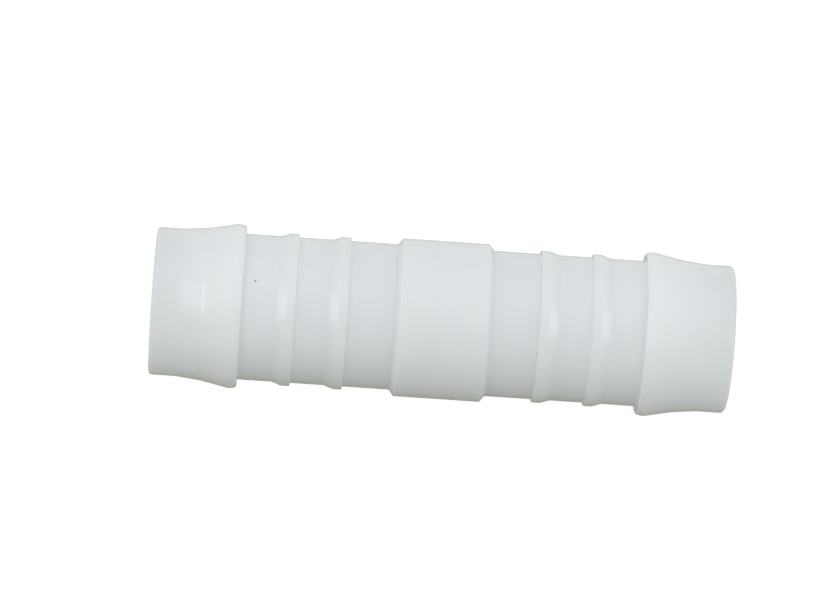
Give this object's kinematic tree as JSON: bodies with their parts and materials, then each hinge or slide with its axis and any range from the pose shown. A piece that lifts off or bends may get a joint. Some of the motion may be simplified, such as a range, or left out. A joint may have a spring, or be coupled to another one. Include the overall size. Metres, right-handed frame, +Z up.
{
  "type": "barbed hose coupling",
  "caption": "Straight one-piece plastic coupling with a plain middle collar and a barbed tail at each end, which joins two hoses pushed over it.",
  "frame": {"origin": "on the flow bore's axis, half way along the coupling", "axes": "+X along the bore axis, +Z up with the coupling lying on its side; the coupling looks the same turned end for end and turned about X"},
  "size_m": [0.098, 0.0278, 0.0278],
  "materials": {
    "natural_plastic": "satin, milky and uncoloured, as moulded"
  },
  "bodies": {
    "root": {"coupling_body": "natural_plastic"}
  },
  "joints": []
}
